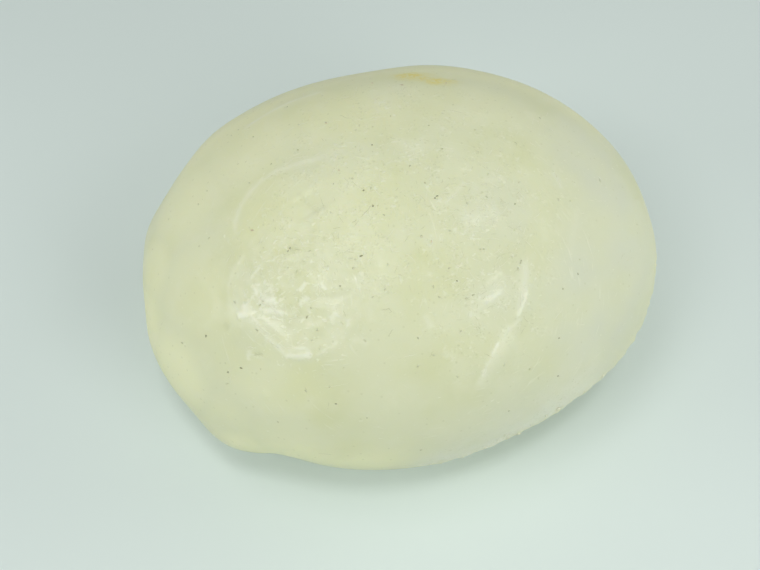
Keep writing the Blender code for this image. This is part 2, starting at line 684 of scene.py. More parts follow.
MARKS = (
    Mark("rim of the pressed area", ((241, 314), (250, 320), (258, 325), (268, 325), (276, 331), (282, 341),
         (288, 351), (304, 357), (326, 352)), 0.9, 0.06, milky=0.18, broken=0.5),
    Mark("far rim", ((249, 248), (239, 262), (232, 273), (228, 288), (230, 303), (237, 314)), 0.55, 0.05,
         milky=0.3),
    Mark("shine inside the far rim", ((246, 258), (238, 272), (236, 288), (239, 302)), 1.1, milky=0.22),
    Mark("first pad", ((236, 317), (241, 314), (247, 312), (256, 316)), 0.65, 0.08, pale=0.85, broken=0.15),
    Mark("peak of the first pad", ((244, 302), (246, 308), (249, 318)), 0.95, 0.06, pale=0.85, broken=0.1),
    Mark("foot of the first pad", ((248, 317), (253, 321), (259, 327)), 0.5, pale=0.3),
    Mark("band right of the first pad", ((262, 316), (270, 322), (278, 331), (283, 341), (289, 352)), 0.95,
         milky=0.22),
    Mark("crumbs on that band", ((264, 321), (270, 324), (277, 330)), 0.5, pale=0.34),
    Mark("second pad", ((282, 356), (291, 356), (302, 356), (315, 355)), 0.6, 0.08, pale=0.85, broken=0.25),
    Mark("top of the second pad", ((284, 350), (298, 350), (313, 349)), 0.75, 0.03, milky=0.4),
    Mark("dash on the second pad", ((292, 349), (300, 348), (309, 348)), 0.35, pale=0.5),
    Mark("stroke under the rim", ((263, 335), (270, 341), (278, 348), (289, 357)), 0.5, 0.05, pale=0.4,
         broken=0.5),
    Mark("shine over that stroke", ((263, 334), (272, 341), (281, 348), (292, 355)), 0.75, milky=0.35),
    Mark("right end of the rim", ((313, 357), (322, 352), (333, 345), (346, 335)), 0.4, 0.05, pale=0.4),
    Mark("inner right rim", ((316, 346), (326, 342), (336, 336), (346, 328)), 0.6, 0.03, milky=0.32),
    Mark("tip of the right rim", ((346, 330), (348, 324), (351, 318)), 0.4, 0.02, pale=0.45),
    Mark("left upper dash", ((252, 284), (256, 290), (255, 297)), 0.4, 0.05, pale=0.7),
    Mark("middle upper dash", ((258, 288), (262, 292), (266, 297)), 0.35, 0.03, pale=0.55),
    Mark("right upper dash", ((269, 284), (274, 287)), 0.35, 0.03, pale=0.5),
    Mark("third pad", ((263, 302), (269, 300), (276, 299)), 0.6, 0.07, pale=1.0, broken=0.1),
    Mark("dash under the third pad", ((257, 300), (264, 304), (271, 304)), 0.35, 0.03, pale=0.6),
    Mark("long dash", ((262, 311), (270, 311), (277, 312), (285, 315)), 0.5, 0.05, pale=0.9, broken=0.2),
    Mark("shine round the long dash", ((262, 308), (272, 311), (290, 314)), 1.0, milky=0.4),
    Mark("lower dash", ((256, 315), (262, 318), (270, 321)), 0.4, 0.02, pale=0.5),
    Mark("level ridge", ((282, 315), (291, 314), (299, 310)), 0.4, 0.05, milky=0.5),
    Mark("level groove", ((262, 292), (280, 295), (305, 297), (330, 299), (345, 294), (358, 286)), 0.75,
         -0.06, dull=0.14, broken=0.2, end_share=0.1),
    Mark("long upper stroke", ((249, 280), (254, 273), (262, 264)), 0.4, 0.04, pale=0.6),
    Mark("tail of that stroke", ((258, 270), (265, 259), (272, 246)), 0.6, milky=0.4),
    Mark("short upper stroke", ((245, 255), (240, 261), (237, 265)), 0.5, 0.03, pale=0.4),
    Mark("stroke in the middle", ((298, 292), (302, 288), (307, 281)), 0.45, 0.04, pale=0.65),
    Mark("stroke beside it", ((320, 282), (323, 287), (327, 291)), 0.35, 0.04, pale=0.7),
    Mark("stroke below it", ((298, 307), (303, 301), (309, 295)), 0.6, 0.04, pale=0.7),
    Mark("level stroke", ((313, 302), (325, 301), (340, 304)), 0.5, 0.03, milky=0.2),
    Mark("fourth pad", ((329, 325), (333, 318), (338, 311)), 0.75, 0.05, pale=0.6, broken=0.3),
    Mark("faint pad", ((303, 327), (314, 325), (325, 321)), 0.7, 0.03, milky=0.5),
    Mark("outgoing ridge", ((338, 303), (347, 297), (360, 288)), 0.4, 0.02, milky=0.28),
    Mark("smear below the rim", ((246, 347), (249, 354), (250, 362)), 0.7, 0.03, pale=0.45),
    Mark("level smear below it", ((252, 357), (265, 357)), 0.35, pale=0.4),
    Mark("smear right of the rim", ((350, 341), (358, 340), (370, 345)), 0.5, milky=0.4),
    Mark("upper crease", ((524, 254), (525, 268), (524, 282), (523, 297), (519, 316)), 0.85, 0.08,
         milky=0.65, end_share=0.2),
    Mark("core of the upper crease", ((528, 288), (525, 299), (521, 309), (517, 318)), 0.3, 0.1, pale=0.85,
         broken=0.3),
    Mark("foot of the upper crease", ((523, 302), (520, 310), (517, 318)), 0.5, pale=0.7, broken=0.2),
    Mark("shelf between the creases", ((521, 318), (515, 325), (505, 330)), 0.45, 0.05, milky=0.6),
    Mark("lower crease", ((514, 322), (505, 334), (497, 346), (490, 358), (484, 371), (474, 392)), 0.4, 0.14,
         milky=0.55, broken=0.1, trail=5.2),
    Mark("upper part of the lower crease", ((512, 325), (506, 332), (501, 340)), 0.8, milky=0.4),
    Mark("bright edge of the lower crease", ((499, 341), (496, 347), (490, 359)), 0.33, pale=0.8,
         broken=0.6),
    Mark("end of that edge", ((489, 358), (485, 370), (481, 380)), 0.33, pale=0.8, broken=0.5),
    Mark("streak", ((483, 301), (489, 299), (495, 295), (502, 291)), 0.5, 0.1, pale=0.75, broken=0.3),
    Mark("shine round the streak", ((476, 306), (492, 296), (506, 284)), 1.3, milky=0.5),
    Mark("tail of the streak", ((482, 304), (476, 310), (467, 317)), 0.8, 0.04, milky=0.45),
    Mark("hatch above the streak", ((484, 285), (493, 279), (504, 270)), 0.45, 0.03, pale=0.36),
    Mark("shine above the streak", ((488, 286), (496, 279), (504, 271)), 1.2, 0.02, milky=0.32),
    Mark("left edge of the right dent", ((424, 314), (428, 322), (433, 329)), 0.45, 0.05, milky=0.35),
    Mark("lower edge of the right dent", ((442, 350), (449, 355), (456, 360)), 0.5, 0.05, milky=0.3),
    Mark("short bright stroke", ((425, 274), (430, 274), (434, 277)), 0.35, 0.02, pale=0.45),
    Mark("sparkle", ((472, 221), (480, 222)), 0.8, pale=0.45),
    Mark("shine round the sparkle", ((462, 226), (482, 217), (502, 210)), 1.8, milky=0.45),
    Mark("feathered stroke", ((443, 206), (455, 192), (468, 180)), 0.4, milky=0.35),
    Mark("stroke on the right", ((552, 170), (558, 180), (562, 190)), 0.35, milky=0.45),
    Mark("level stroke on the crown", ((480, 180), (507, 179)), 0.5, milky=0.3),
    Mark("smear on the crown", ((390, 138), (408, 145), (426, 152)), 0.9, milky=0.28),
    Mark("soft smear on the crown", ((317, 208), (306, 223), (300, 240)), 1.4, milky=0.35),
    Mark("smear right of the crease", ((542, 216), (544, 230), (547, 244)), 0.8, milky=0.22),
    Mark("band on the right face", ((578, 205), (573, 232), (570, 262)), 0.9, milky=0.22),
    Mark("arc on the left", ((236, 242), (235, 222), (241, 205), (250, 192), (262, 180), (277, 171),
         (294, 165), (312, 160), (338, 152)), 0.55, milky=0.5, broken=0.4),
    Mark("line along the back", ((240, 132), (260, 118), (290, 102), (328, 90)), 0.5, 0.03, milky=0.55,
         broken=0.5),
    Mark("groove outside that line", ((243, 123), (260, 112), (288, 98)), 0.8, -0.04),
    Mark("smear in the middle", ((366, 300), (369, 310), (372, 324)), 0.6, milky=0.2),
    Mark("thumb mark", ((297, 191), (306, 202), (317, 213)), 0.4, -0.04, dull=0.22),
    Mark("dull smudge on the left", ((224, 323), (229, 329)), 0.6, dull=0.4),
    Mark("dull line on the left", ((254, 354), (263, 354)), 0.35, dull=0.4),
    Mark("dull dashes", ((286, 247), (294, 249), (303, 250)), 0.35, dull=0.3, broken=0.9),
)

DENTS = (
    Dent("bright knob", (265, 395), 0.9, 0.16),
    Dent("knob in the left dents", (247, 316), 1.5, 0.12),
    Dent("hollow in the left dents", (322, 330), 2.2, -0.14),
    Dent("hollow above the rim", (286, 322), 2.4, -0.14),
    Dent("knob under the rim", (250, 368), 1.4, 0.08),
    Dent("nick in the seam", (440, 462), 0.8, -0.45),
    Dent("tag on the seam", (452, 462), 0.9, 0.25),
    Dent("second nick", (505, 436), 0.8, -0.4),
    Dent("third nick", (558, 410), 0.7, -0.35),
    Dent("tag by the third nick", (550, 414), 0.8, 0.25),
    Dent("corner of the seam", (590, 389), 0.9, -0.25),
    Dent("step on the right", (655, 267), 0.9, -0.25),
)


@dataclass(frozen=True)
class FineRelief:
    """What hands and drying left on the skin, too fine for the solid."""

    hammered: tuple[Field, ...] = (Field((288, 296), 17.0, 0.85),)
    puckered: tuple[Field, ...] = (Field((490, 285), 16.0, 0.75), Field((495, 212), 8.0))
    # Painted highlights: in these areas short white strokes are painted where the lamps' glints break up; they
    # add no relief
    painted_glint_strokes: tuple[Field, ...] = (
        Field((267, 302), 4.2), Field((300, 325), 9.0, strength=0.45), Field((290, 270), 9.0, strength=0.45),
        Field((477, 222), 4.0, strength=0.5), Field((490, 285), 5.0, strength=0.4),
    )
    dent_pitch: float = 3.4 * MM
    dent_seed: float = 3.0
    dent_height: float = 0.060 * MM
    dent_crispness: float = 3.0
    small_pitch: float = 1.5 * MM
    small_seed: float = 11.0
    small_height: float = 0.022 * MM
    calm_share: float = 0.12
    puckered_share: float = 0.45
    marks: tuple[Mark, ...] = MARKS
    dents: tuple[Dent, ...] = DENTS

    def height(self, skin: Skin, points: np.ndarray) -> np.ndarray:
        """What the fine relief adds at each point.

        Args:
            skin: The surface that the marks are laid on.
            points: Points of the fine grid.

        Returns:
            Heights in metres.
        """
        hammered = self.strongest(self.hammered, skin, points)
        puckered = self.strongest(self.puckered, skin, points)
        broad = np.tanh(self.dent_crispness * ripples(points, self.dent_pitch, self.dent_seed))
        small = ripples(points, self.small_pitch, self.small_seed)
        total = self.dent_height * broad * (self.calm_share + hammered + self.puckered_share * puckered)
        total += self.small_height * small * (self.calm_share + hammered + puckered)
        for mark in self.marks:
            total += mark.height_mm * MM * mark.over(skin, points)
        for dent in self.dents:
            gap = points - skin.under(dent.pixel)[0]
            total += dent.height_mm * MM * np.exp(-(gap**2).sum(axis=1) / (dent.width_mm * MM) ** 2)
        return total

    def strongest(self, areas: tuple[Field | Mark, ...], skin: Skin, points: np.ndarray) -> np.ndarray:
        """The strongest of several fields and marks at each point."""
        return np.max([area.over(skin, points) for area in areas], axis=0)

    def toned(self, tone: str, skin: Skin, points: np.ndarray) -> np.ndarray:
        """How far the marks paint the skin pale, milky or dull, whichever is named, at each point; pale and
        milky are painted highlights.
        """
        toning = [mark for mark in self.marks if getattr(mark, tone)]
        return np.max([getattr(mark, tone) * mark.over(skin, points) for mark in toning], axis=0)


class Ramp(NamedTuple):
    """A share that rises smoothly from least to most as a value goes from low to high."""

    low: float
    high: float
    least: float = 0.0
    most: float = 1.0


class Grain(NamedTuple):
    """Noise in the skin: how far apart its humps are and how many finer layers it has."""

    pitch_mm: float
    layers: float


@dataclass(frozen=True)
class Ring:
    """Where a cloth or palm turned on the skin: round a pixel of the portrait, between two radii."""

    pixel: Pixel
    least_mm: float
    greatest_mm: float
    strength: float
    edge_mm: float = 1.0

    def window(self) -> tuple[Ramp, Ramp]:
        """How the scratches come and go with the way from the middle, in millimetres."""
        least, greatest, edge = self.least_mm, self.greatest_mm, self.edge_mm
        return Ramp(least - edge, least + edge), Ramp(greatest + edge, greatest - edge)


MASKS = ("pressed", "painted_glint_strokes", "painted_shine", "dry", "stain", "painted_sheen_and_shade", "lip", "deep", "back", "rim", "rubbed", "dull")


@dataclass(frozen=True)
class CurdSkin:
    """Stretched and pressed fresh curd with a dried skin: pale ivory and waxy, glossy where it was pressed.

    Light goes a few millimetres into it, so its shades are soft, and fat in the skin gives it a low gloss.
    """

    name: str = "pressed curd skin"
    ivory: str = "#DDE1BE"
    deep_ivory: str = "#D7DBAF"
    milky: str = "#EBEED4"
    # Painted highlight: the white of the lamps' glints on the pressed skin and its creases
    painted_glint_white: str = "#F1F4DC"
    # Painted light: a paler tone where the lamps leave the ball too dark, on the upper left, the left side and
    # the lower front edge
    painted_light_ivory: str = "#F0F2C6"
    # Painted light: a yellower tone on the rim at the back, against the bluish light of the room there
    painted_rim_light: str = "#EAECC1"
    # Painted sheen and shade: a greyer, darker tone on the right side for a lamp's broad sheen there and for
    # shade
    painted_sheen_and_shade: str = "#D4D9C2"
    # Painted light: a paler tone along the seam's lower right strip, which faces down and would lie in shade
    painted_seam_light: str = "#F0F2DE"
    whey_stain: str = "#E3DA8A"
    fleck: str = "#C3C79D"
    cloud: Grain = Grain(15.0, 2.0)
    curd: Grain = Grain(4.0, 3.0)
    patch: Grain = Grain(2.8, 2.0)
    # Real crumbs, grain and scratches are a third as wide, and would not show in the render
    crumb: Grain = Grain(0.8, 4.0)
    grain: Grain = Grain(0.42, 2.0)
    stroke: Grain = Grain(0.75, 1.5)
    arc: Grain = Grain(1.0, 1.0)
    arc_gap: Grain = Grain(5.0, 2.0)
    arc_width_mm: float = 0.45
    arc_length_mm: float = 4.5
    fleck_spacing_mm: float = 1.9
    stroke_stretch: tuple[float, float, float] = (0.8, 1.2, 1.2)
    stroke_twist: float = 0.3
    stroke_push: float = 0.24
    glint_mask_weight: float = 0.6
    clouding: Ramp = Ramp(0.40, 0.66, most=0.8)
    curdling: Ramp = Ramp(0.50, 0.75, most=0.18)
    dry_patches: Ramp = Ramp(0.42, 0.60)
    dark_bits: Ramp = Ramp(0.56, 0.68, most=0.34)
    pale_bits: Ramp = Ramp(0.55, 0.68, most=0.55)
    smearing: Ramp = Ramp(0.54, 0.84, 0.12)
    strokes: Ramp = Ramp(0.68, 0.84, most=0.50)
    flecks: Ramp = Ramp(0.14, 0.06, most=0.30)
    arcs: Ramp = Ramp(0.60, 0.74)
    arc_pieces: Ramp = Ramp(0.48, 0.58)
    staining: Ramp = Ramp(0.38, 0.55, 0.45)
    fine_relief: Ramp = Ramp(0.0, 1.0, 0.25, 1.4)
    gloss_patches: Ramp = Ramp(0.36, 0.62)
    gloss: Ramp = Ramp(0.0, 1.0, 0.04, 0.55)
    dullness: Ramp = Ramp(0.3, 0.7, 0.49, 0.63)
    ior: float = 1.45
    sheen_level: float = 0.35
    gloss_roughness: float = 0.17
    translucency: float = 0.35
    light_depth: float = 2.2 * MM
    light_depth_colour: tuple[float, float, float] = (1.0, 0.85, 0.5)
    relief_depth: float = 0.04 * MM

    def material(self, rings: list[tuple[np.ndarray, Ring]]) -> bpy.types.Material:
        """Makes the material.

        Args:
            rings: Where the skin was rubbed in arcs, each with its middle in metres.

        Returns:
            The material.
        """
        material, tree = new_material(self.name)
        place = add_node(tree, Kind.SCALED, add_node(tree, Kind.COORDS), 1 / MM)
        mask = {name: add_node(tree, Kind.MASK, attribute_name=name) for name in MASKS}
        grains = (self.cloud, self.curd, self.patch, self.crumb, self.grain)
        cloud, curd, patch, crumb, grain = (
            add_node(tree, Kind.NOISE, place, 1 / g.pitch_mm, g.layers) for g in grains
        )
        cells = add_node(tree, Kind.CELLS, place, 1 / self.fleck_spacing_mm)
        dry = self.within(tree, mask["dry"], patch, self.dry_patches)
        pale_bits = self.within(tree, dry, crumb, self.pale_bits)
        painted_glints = self.painted_glints(tree, place, mask, crumb)
        scratches = self.scratches(tree, place, rings)
        # Painted light and shade among these layers: the paler tones on the upper left, the back rim and the
        # seam's strip, and the greyer, darker tone of the right side; the milky and white marks and strokes are
        # painted highlights, and the scratches are partly painted glints. The others are the skin's own tones.
        layers = (
            (self.deep_ivory, add_node(tree, Kind.RAMP, cloud, *self.clouding)),
            (self.deep_ivory, mask["deep"]),
            (self.painted_light_ivory, mask["back"]),
            (self.painted_rim_light, mask["rim"]),
            (self.milky, add_node(tree, Kind.RAMP, curd, *self.curdling)),
            (self.milky, mask["painted_shine"]),
            (self.painted_sheen_and_shade, mask["painted_sheen_and_shade"]),
            (self.painted_seam_light, mask["lip"]),
            (self.whey_stain, self.within(tree, mask["stain"], crumb, self.staining)),
            (self.fleck, mask["dull"]),
            (self.fleck, self.within(tree, dry, grain, self.dark_bits)),
            (self.milky, pale_bits),
            (self.painted_glint_white, painted_glints),
            # The arcs are real scratches; their milky paint is partly a painted glint, as they lie round the
            # lamps' highlights
            (self.milky, scratches),
            (self.fleck, add_node(tree, Kind.RAMP, cells, *self.flecks)),
        )
        colour = linear(self.ivory)
        for tone, share in layers:
            colour = add_node(tree, Kind.TINT, share, colour, linear(tone))
        height = self.within(tree, grain, dry, self.fine_relief)
        for more in (curd, scratches, painted_glints, pale_bits):
            height = add_node(tree, Kind.PLUS, height, more)
        relief = add_node(tree, Kind.BUMP, height, self.relief_depth)
        glossy = self.within(tree, mask["pressed"], curd, self.gloss_patches)
        feeds = {
            "Base Color": colour,
            "Roughness": add_node(tree, Kind.RAMP, curd, *self.dullness),
            "Normal": relief,
            "IOR": self.ior,
            "Specular IOR Level": self.sheen_level,
            "Coat Weight": add_node(tree, Kind.RAMP, glossy, *self.gloss),
            "Coat Normal": relief,
            "Coat Roughness": self.gloss_roughness,
            "Coat IOR": self.ior,
            "Subsurface Weight": self.translucency,
            "Subsurface Radius": self.light_depth_colour,
            "Subsurface Scale": self.light_depth,
        }
        feed(tree.nodes[SHADER], feeds)
        return material

    def within(self, tree: Tree, area: Socket, value: Socket, ramp: Ramp) -> Socket:
        """The part of an area where a value is high."""
        return add_node(tree, Kind.TIMES, area, add_node(tree, Kind.RAMP, value, *ramp))

    def painted_glints(self, tree: Tree, place: Socket, mask: dict[str, Socket], crumb: Socket) -> Socket:
        """Painted highlights: the pale marks, and short strokes where the skin was pressed, painted white where
        the lamps' glints lie.

        Args:
            tree: The material's tree.
            place: Places on the skin in millimetres.
            mask: The masks that the mesh carries.
            crumb: Noise as fine as crumbs, which makes the marks uneven.

        Returns:
            The share of painted glint white.
        """
        eaten = add_node(tree, Kind.TIMES_PLUS, mask["rubbed"], self.glint_mask_weight, crumb)
        marks = self.within(tree, mask["rubbed"], eaten, self.smearing)
        stretched = add_node(tree, Kind.STRETCHED, place, self.stroke_stretch)
        scale = 1 / self.stroke.pitch_mm
        stroke = add_node(tree, Kind.NOISE, stretched, scale, self.stroke.layers, self.stroke_twist)
        pushed = add_node(tree, Kind.TIMES_PLUS, mask["painted_glint_strokes"], self.stroke_push, stroke)
        return add_node(tree, Kind.GREATER, marks, add_node(tree, Kind.RAMP, pushed, *self.strokes))

    def scratches(self, tree: Tree, place: Socket, rings: list[tuple[np.ndarray, Ring]]) -> Socket:
        """Fine broken arcs round the middles where a cloth or palm turned on the skin.

        Each is noise that is stretched along the turn: it changes slowly round the middle and fast outwards.

        Args:
            tree: The material's tree.
            place: Places on the skin in millimetres.
            rings: Where the skin was rubbed in arcs, each with its middle in metres.

        Returns:
            The strength of the scratches.
        """
        total = 0.0
        for middle, ring in rings:
            offset = add_node(tree, Kind.AWAY, place, tuple(middle / MM))
            radius = add_node(tree, Kind.LENGTH, offset)
            turns = ring.greatest_mm / self.arc_length_mm
            turned = add_node(tree, Kind.SCALED, add_node(tree, Kind.HEADING, offset), turns)
            steps = add_node(tree, Kind.TIMES, radius, 1 / self.arc_width_mm)
            spiral = add_node(tree, Kind.SHIFTED, turned, add_node(tree, Kind.UPWARDS, steps))
            noises = [
                add_node(tree, Kind.NOISE, spot, 1 / grain.pitch_mm, grain.layers)
                for spot, grain in ((spiral, self.arc), (offset, self.arc_gap))
            ]
            seen = add_node(tree, Kind.RAMP, noises[0], *self.arcs)
            seen = self.within(tree, seen, noises[1], self.arc_pieces)
            for ramp in ring.window():
                seen = self.within(tree, seen, radius, ramp)
            total = add_node(tree, Kind.PLUS, total, add_node(tree, Kind.TIMES, seen, ring.strength))
        return total


class SpeckTone(Enum):
    """What a speck or hairline in the skin is, and how dark or pale that makes it."""

    PINHOLE = "#888A63"
    DULL = "#BABD96"
    MUTED = "#CACDA8"
    FAINT = "#DADDBA"
    RUSTY = "#DECFB0"
    RUBBED = "#EBEDD6"


@dataclass(frozen=True)
class SpeckMatter:
    """Dried curd and dust caught in a pinhole: matt, and darker than the skin as little light gets out."""

    tone: SpeckTone
    roughness: float = 0.7
    mottle_mm: float = 0.3
    mottle_share: float = 0.4
    skin: str = "#D8DCB8"

    def material(self) -> bpy.types.Material:
        """Makes the material, mottled with the skin's colour.

        Returns:
            The material.
        """
        material, tree = new_material(f"{self.tone.name.lower()} dried curd")
        mottle = add_node(tree, Kind.NOISE, add_node(tree, Kind.COORDS), 1 / (self.mottle_mm * MM))
        share = add_node(tree, Kind.TIMES, mottle, self.mottle_share)
        colour = add_node(tree, Kind.TINT, share, linear(self.tone.value), linear(self.skin))
        feed(tree.nodes[SHADER], {"Base Color": colour, "Roughness": self.roughness})
        return material


@dataclass(frozen=True)
class SmallPiece:
    """One piece of many small closed shapes let into the skin, some of them seen in the portrait."""

    name: str
    matter: SpeckMatter
    seen: tuple[tuple, ...]
    scattered: int
    seed: int
    top_heaviness: float = 0.35

    def build(self, skin: Skin) -> bpy.types.Object:
        """Builds and dresses the piece.

        Args:
            skin: The ball's finished surface.

        Returns:
            The piece.
        """
        points, faces = [], []
        for own_points, own_faces in self.shapes(skin, np.random.default_rng(self.seed)):
            first = len(points)
            points += own_points
            faces += [tuple(first + i for i in face) for face in own_faces]
        piece = add_object(self.name, (points, faces), self.matter.material())
        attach(piece, BODY)
        return piece

    def shapes(self, skin: Skin, rng: Chance) -> Iterator[Shape]:
        """The piece's shapes, one after the other."""
        raise NotImplementedError


@dataclass(frozen=True)
class Specks(SmallPiece):
    """Specks of one tone: small flat beads.

    seen are those that show in the portrait: x, y and the width in millimetres. The others lie anywhere above
    the resting spot, closer together towards the top.
    """

    least_mm: float = 0.1
    greatest_mm: float = 0.4
    rim_lift_mm: float = 0.008
    crown_lift_mm: float = 0.022
    root_mm: float = 0.10
    sides: int = 8
    uneven: float = 0.28
    longest_stretch: float = 1.5

    def shapes(self, skin: Skin, rng: Chance) -> Iterator[Shape]:
        """The beads, one after the other.

        Args:
            skin: The ball's finished surface.
            rng: The piece's random numbers.

        Yields:
            One bead.
        """
        for x, y, width_mm in self.seen:
            yield self.bead(skin.under((x, y)), width_mm * MM, rng)
        for _ in range(self.scattered):
            footing = skin.anywhere(rng, self.top_heaviness)
            yield self.bead(footing, rng.uniform(self.least_mm, self.greatest_mm) * MM, rng)

    def bead(self, footing: Footing, width: float, rng: Chance) -> Shape:
        """One closed bead: an uneven rim, a low crown and a root in the skin.

        Args:
            footing: Where it sits.
            width: How wide it is, in metres.
            rng: The piece's random numbers.

        Returns:
            The bead.
        """
        point, normal = footing
        across = np.cross(normal, rng.normal(size=3))
        across /= np.linalg.norm(across)
        along = np.cross(normal, across)
        stretch = rng.uniform(1.0, self.longest_stretch)
        points = []
        faces = []
        for i, turn in enumerate(np.arange(self.sides) / self.sides * 2 * np.pi):
            reach = width / 2 * (1 + self.uneven * rng.uniform(-1, 1))
            spot = across * np.cos(turn) * stretch + along * np.sin(turn) / stretch
            points.append(point + spot * reach + normal * (self.rim_lift_mm * MM))
            there = (i + 1) % self.sides
            faces += [(i, there, self.sides), (there, i, self.sides + 1)]
        points.append(point + normal * (self.crown_lift_mm * MM))
        points.append(point - normal * (self.root_mm * MM))
        return points, faces


@dataclass(frozen=True)
class Hairlines(SmallPiece):
    """Cracks or scratches of one tone: threads with sharp ends.

    seen are those that show in the portrait: the width in millimetres, then the corners' pixels. gathered are
    clusters of short ones: the pixel of the middle, the spread in millimetres and how many. The others start
    anywhere above the resting spot.
    """

    longest_mm: float = 4.0
    width_mm: float = 0.10
    gathered: tuple[tuple[Pixel, float, int], ...] = ()
    shortest_share: float = 0.2
    narrowest_share: float = 0.6
    uneven_share: float = 0.7
    thin_share: float = 0.35
    gap_chance: float = 0.10
    bend: float = 0.05
    step: float = 0.24 * MM
    wander: float = 0.05 * MM
    lift: float = 0.012 * MM
    sunk: float = 0.006 * MM
    root: float = 0.06 * MM

    def shapes(self, skin: Skin, rng: Chance) -> Iterator[Shape]:
        """The threads, one after the other.

        Args:
            skin: The ball's finished surface.
            rng: The piece's random numbers.

        Yields:
            One thread.
        """
        for width_mm, pixels in self.seen:
            yield from self.threads(self.along(skin, pixels, rng), width_mm * MM, rng)
        starts = [skin.anywhere(rng, self.top_heaviness) for _ in range(self.scattered)]
        for pixel, spread_mm, count in self.gathered:
            starts += [skin.about(pixel, spread_mm * MM, rng) for _ in range(count)]
        for start in starts:
            width = self.width_mm * rng.uniform(self.narrowest_share, 1.0) * MM
            yield from self.threads(self.astray(skin, start, rng), width, rng)

    def along(self, skin: Skin, pixels: tuple[Pixel, ...], rng: Chance) -> list[Footing]:
        """Small steps over the skin from pixel to pixel, wandering a little.

        Args:
            skin: The ball's finished surface.
            pixels: The line's corners in the portrait.
            rng: The piece's random numbers.

        Returns:
            The steps.
        """
        corners, _ = skin.path(pixels)
        route = []
        for start, end in zip(corners, corners[1:]):
            steps = max(2, round(np.linalg.norm(end - start) / self.step))
            for share in np.arange(steps) / steps:
                route.append(skin.nearest(start + share * (end - start) + rng.normal(size=3) * self.wander))
        return route

    def astray(self, skin: Skin, start: Footing, rng: Chance) -> list[Footing]:
        """Small steps over the skin in a random direction, bending slowly.

        Args:
            skin: The ball's finished surface.
            start: Where the line starts.
            rng: The piece's random numbers.

        Returns:
            The steps.
        """
        point, normal = start
        heading = rng.normal(size=3)
        turn = rng.normal() * self.bend
        route = []
        for _ in range(round(rng.uniform(self.shortest_share, 1.0) * self.longest_mm * MM / self.step)):
            heading = heading - normal * (heading @ normal)
            heading /= np.linalg.norm(heading)
            route.append((point, normal))
            point, normal = skin.nearest(point + heading * self.step + rng.normal(size=3) * self.wander / 2)
            heading = heading + np.cross(normal, heading) * turn
        return route

    def threads(self, route: list[Footing], width: float, rng: Chance) -> Iterator[Shape]:
        """A line as threads with small gaps between them.

        Args:
            route: Steps along the line.
            width: How wide it is, in metres.
            rng: The piece's random numbers.

        Yields:
            One thread.
        """
        steps = []
        for footing in route:
            if rng.uniform() < self.gap_chance:
                yield from self.thread(steps, width, rng)
                steps = []
            else:
                steps.append(footing)
        yield from self.thread(steps, width, rng)

    def thread(self, steps: list[Footing], width: float, rng: Chance) -> Iterator[Shape]:
        """One closed thread of four sides that is widest in its middle.

        Args:
            steps: Steps along it. One step alone makes no thread.
            width: How wide it is, in metres.
            rng: The piece's random numbers.

        Yields:
            The thread.
        """
        last = len(steps) - 1
        if last < 1:
            return
        points = []
        for i, (point, normal) in enumerate(steps):
            ahead = steps[min(i + 1, last)][0] - steps[max(i - 1, 0)][0]
            across = np.cross(normal, ahead)
            across /= np.linalg.norm(across)
            swell = self.thin_share + (1 - self.thin_share) * np.sin(np.pi * i / last)
            half = across * width / 2 * swell * rng.uniform(self.uneven_share, 1.0)
            low = point - normal * self.sunk
            points += [low + half, point + normal * self.lift, low - half, point - normal * self.root]
        faces = []
        for near in range(0, 4 * last, 4):
            for j, k in ((0, 1), (1, 2), (2, 3), (3, 0)):
                faces.append((near + j, near + k, near + 4 + k, near + 4 + j))
        end = 4 * last
        yield points, faces + [(3, 2, 1, 0), (end, end + 1, end + 2, end + 3)]


@dataclass(frozen=True)
class TableTop:
    """Smooth matt coated board, pale with a green tinge: it shows no grain, only soft shade."""

    colour: str = "#DDE9E4"
    roughness: float = 0.75
    half_size: float = 1.5

    def lay(self) -> None:
        """Lays the table top at z = 0."""
        h = self.half_size
        material, tree = new_material("matt coated board")
        feed(tree.nodes[SHADER], {"Base Color": linear(self.colour), "Roughness": self.roughness})
        shape = ([(-h, -h, 0), (h, -h, 0), (h, h, 0), (-h, h, 0)], [(0, 1, 2, 3)])
        add_object("table_top", shape, material)


@dataclass(frozen=True)
class Lamp:
    """A square soft lamp that faces the ball. Angles in degrees, sizes in metres, power in watts."""

    name: str
    azimuth: float
    elevation: float
    watts: float
    size: float = 0.18
    distance: float = 0.45
    colour: str = "#FFFFFF"
    target: tuple[float, float, float] = (0.0, 0.0, 0.02)

    def hang(self) -> None:
        """Hangs the lamp."""
        data = bpy.data.lights.new(self.name, "AREA")
        data.shape = "SQUARE"
        data.size = self.size
        data.energy = self.watts
        data.color = linear(self.colour)[:3]
        lamp = bpy.data.objects.new(self.name, data)
        away = Vector(direction((self.azimuth, self.elevation)))
        lamp.location = Vector(self.target) + away * self.distance
        lamp.rotation_euler = away.to_track_quat("Z", "Y").to_euler()
        bpy.context.scene.collection.objects.link(lamp)


